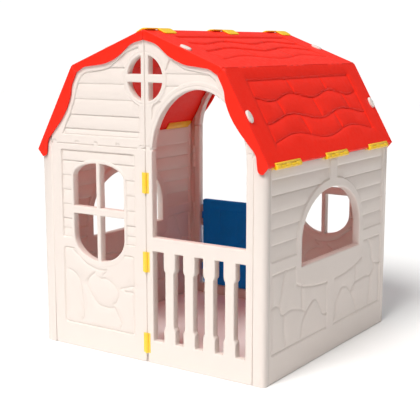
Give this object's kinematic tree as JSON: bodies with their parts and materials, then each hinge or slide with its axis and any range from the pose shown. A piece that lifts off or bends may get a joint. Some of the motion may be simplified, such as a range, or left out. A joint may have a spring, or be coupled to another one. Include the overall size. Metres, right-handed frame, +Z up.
{
  "type": "folding playhouse",
  "caption": "Folding plastic playhouse: moulded wall halves hinged to two side walls, arched front with a fence, half door at the back and a gambrel roof in hinged slabs.",
  "frame": {"origin": "middle of the footprint, at floor level", "axes": "+X right along the front wall, +Y to the back, +Z up"},
  "size_m": [0.933, 0.898, 1.0901],
  "materials": {
    "white_plastic": "warm white blow-moulded polyethylene, satin",
    "red_plastic": "bright red blow-moulded polyethylene, satin",
    "yellow_plastic": "yellow injection-moulded polypropylene",
    "blue_plastic": "blue blow-moulded polyethylene, satin",
    "steel": "plain steel rod"
  },
  "bodies": {
    "left_wall": {"left_side_wall": "white_plastic", "front_left_corner_pins": "steel", "back_left_corner_pins": "steel", "left_eave_wall_leaves": "yellow_plastic"},
    "front_left": {"front_left_panel": "white_plastic", "front_left_gable": "white_plastic", "front_left_gable_pegs": "white_plastic", "front_centre_hinge_leaves_left": "yellow_plastic", "front_centre_hinge_pins": "steel"},
    "front_right": {"front_right_panel": "white_plastic", "front_right_gable": "white_plastic", "front_right_gable_pegs": "white_plastic", "front_centre_hinge_leaves_right": "yellow_plastic"},
    "right_wall": {"right_side_wall": "white_plastic", "front_right_corner_pins": "steel", "back_right_corner_pins": "steel", "right_eave_wall_leaves": "yellow_plastic"},
    "back_left": {"back_left_panel": "white_plastic", "back_left_gable": "white_plastic", "back_left_gable_pegs": "white_plastic", "back_centre_hinge_leaves_left": "yellow_plastic", "back_centre_hinge_pins": "steel", "door_hinge_pins": "steel"},
    "back_right": {"back_right_panel": "white_plastic", "back_right_gable": "white_plastic", "back_right_gable_pegs": "white_plastic", "back_centre_hinge_leaves_right": "yellow_plastic"},
    "left_roof_lower": {"roof_left_lower": "red_plastic", "roof_left_lower_caps": "white_plastic", "left_eave_roof_leaves": "yellow_plastic", "left_eave_pins": "steel", "left_knee_pins": "steel"},
    "left_roof_upper": {"roof_left_upper": "red_plastic", "roof_left_upper_caps": "white_plastic", "ridge_hooks_left": "yellow_plastic"},
    "right_roof_lower": {"roof_right_lower": "red_plastic", "roof_right_lower_caps": "white_plastic", "right_eave_roof_leaves": "yellow_plastic", "right_eave_pins": "steel", "right_knee_pins": "steel"},
    "right_roof_upper": {"roof_right_upper": "red_plastic", "roof_right_upper_caps": "white_plastic", "ridge_hooks_right": "yellow_plastic"},
    "door": {"half_door": "blue_plastic"}
  },
  "joints": [
    {"name": "wall_fold", "type": "hinge", "parent": "left_wall", "child": "front_left", "pos_m": [-0.406, -0.4125, 0], "axis": [0, 0, 1], "range_deg": [0, 65]},
    {"name": "front_centre_fold", "type": "hinge", "parent": "front_left", "child": "front_right", "pos_m": [0, -0.4425, 0], "axis": [0, 0, -1], "range_deg": [0, 130]},
    {"name": "right_corner_fold", "type": "hinge", "parent": "front_right", "child": "right_wall", "pos_m": [0.406, -0.4125, 0], "axis": [0, 0, 1], "range_deg": [0, 65]},
    {"name": "back_corner_fold", "type": "hinge", "parent": "left_wall", "child": "back_left", "pos_m": [-0.406, 0.4125, 0], "axis": [0, 0, -1], "range_deg": [0, 65]},
    {"name": "back_centre_fold", "type": "hinge", "parent": "back_left", "child": "back_right", "pos_m": [0, 0.4425, 0], "axis": [0, 0, 1], "range_deg": [0, 130]},
    {"name": "left_roof_eave", "type": "hinge", "parent": "left_wall", "child": "left_roof_lower", "pos_m": [-0.46, 0, 0.677], "axis": [0, -1, 0], "range_deg": [0, 205]},
    {"name": "left_roof_knee", "type": "hinge", "parent": "left_roof_lower", "child": "left_roof_upper", "pos_m": [-0.29702, 0, 0.96654], "axis": [0, -1, 0], "range_deg": [0, 38.5]},
    {"name": "right_roof_eave", "type": "hinge", "parent": "right_wall", "child": "right_roof_lower", "pos_m": [0.46, 0, 0.677], "axis": [0, 1, 0], "range_deg": [0, 205]},
    {"name": "right_roof_knee", "type": "hinge", "parent": "right_roof_lower", "child": "right_roof_upper", "pos_m": [0.29702, 0, 0.96654], "axis": [0, 1, 0], "range_deg": [0, 38.5]},
    {"name": "door_swing", "type": "hinge", "parent": "back_left", "child": "door", "pos_m": [-0.374, 0.4345, 0], "axis": [0, 0, 1], "range_deg": [0, 90]}
  ],
  "couplings": [
    {"joint": "front_centre_fold", "follows": "wall_fold", "ratio": 2},
    {"joint": "right_corner_fold", "follows": "wall_fold", "ratio": 1},
    {"joint": "back_corner_fold", "follows": "wall_fold", "ratio": 1},
    {"joint": "back_centre_fold", "follows": "wall_fold", "ratio": 2},
    {"joint": "left_roof_eave", "follows": "wall_fold", "ratio": 3.1538},
    {"joint": "left_roof_knee", "follows": "wall_fold", "ratio": 0.5923},
    {"joint": "right_roof_eave", "follows": "wall_fold", "ratio": 3.1538},
    {"joint": "right_roof_knee", "follows": "wall_fold", "ratio": 0.5923}
  ]
}
